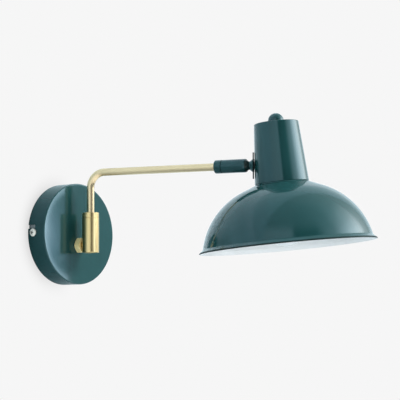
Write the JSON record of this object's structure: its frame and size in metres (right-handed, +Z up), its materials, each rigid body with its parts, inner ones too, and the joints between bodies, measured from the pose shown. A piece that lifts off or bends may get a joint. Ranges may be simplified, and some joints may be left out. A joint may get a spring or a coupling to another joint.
{
  "type": "articulated wall light",
  "caption": "Petrol-green wall light: round wall plate, swinging bent brass arm on an upright pivot, ball swivel, conical neck and wide dome shade with a white inside and an opal bulb.",
  "frame": {"origin": "centre of the round wall plate's back, on the wall plane", "axes": "+Y into the wall, -Y out into the room, +Z up, +X to the right when facing the wall"},
  "size_m": [0.2472, 0.3714, 0.192],
  "materials": {
    "green_paint": "glossy petrol-green lacquer on sheet steel",
    "brass": "pale satin brushed brass",
    "nickel_screw": "bright nickel plate",
    "contact_brass": "plain turned brass",
    "zinc_steel": "zinc-plated steel",
    "nylon": "natural nylon",
    "white_plastic": "matt white moulding",
    "holder_plastic": "white thermoset moulding",
    "flex_sheath": "white flex sheath",
    "opal_glass": "opal white"
  },
  "bodies": {
    "wall_base": {"canopy": "green_paint", "wall_bracket": "zinc_steel", "canopy_screws": "nickel_screw", "terminal_block": "white_plastic", "terminal_screws": "contact_brass", "earth_screw": "nickel_screw", "threaded_nipple": "brass", "hex_nut": "brass", "lock_washer": "zinc_steel", "nipple_locknut": "brass", "pivot_sleeve": "brass", "sleeve_cap": "brass", "sleeve_base_plug": "brass", "lower_bush": "nylon", "friction_washer": "nylon", "wave_spring": "zinc_steel", "upper_bush": "nylon", "canopy_flex": "flex_sheath"},
    "arm": {"arm_tube": "brass", "arm_collar": "brass", "arm_flex": "flex_sheath", "joint_end_cap": "green_paint", "swivel_retainer": "contact_brass"},
    "swivel": {"joint_housing": "green_paint", "ball_seat": "nylon", "disc_springs": "zinc_steel", "thrust_washer": "zinc_steel"},
    "stud": {"ball_stud": "green_paint", "mounting_plate": "green_paint", "seat_washer": "nylon", "stud_washer": "zinc_steel", "stud_nut": "zinc_steel"},
    "head": {"neck": "green_paint", "stud_bush": "nylon", "finial_nut": "green_paint", "hanger_rod": "zinc_steel", "rod_locknut": "zinc_steel", "head_flex": "flex_sheath", "dome": "green_paint", "lampholder_body": "holder_plastic", "lampholder_cap": "holder_plastic", "shade_ring": "holder_plastic", "holder_thread": "contact_brass", "holder_contact": "contact_brass", "bulb_glass": "opal_glass", "bulb_cap": "zinc_steel", "bulb_insulator": "holder_plastic", "bulb_contact": "contact_brass"}
  },
  "joints": [
    {"name": "arm_swing", "type": "hinge", "parent": "wall_base", "child": "arm", "pos_m": [0, -0.044, 0], "axis": [0, 0, 1], "range_deg": [-86, 54]},
    {"name": "swivel_turn", "type": "hinge", "parent": "arm", "child": "swivel", "pos_m": [0.0544, -0.23126, 0.0721], "axis": [0.279, -0.9603, 0], "range_deg": [-160, 160]},
    {"name": "head_tilt", "type": "hinge", "parent": "swivel", "child": "stud", "pos_m": [0.0544, -0.23126, 0.0721], "axis": [0, 0, 1], "range_deg": [-45, 4.8]},
    {"name": "head_turn", "type": "hinge", "parent": "stud", "child": "head", "pos_m": [0.0544, -0.23126, 0.0721], "axis": [0.592, -0.8059, 0], "range_deg": [-90, 90]}
  ]
}
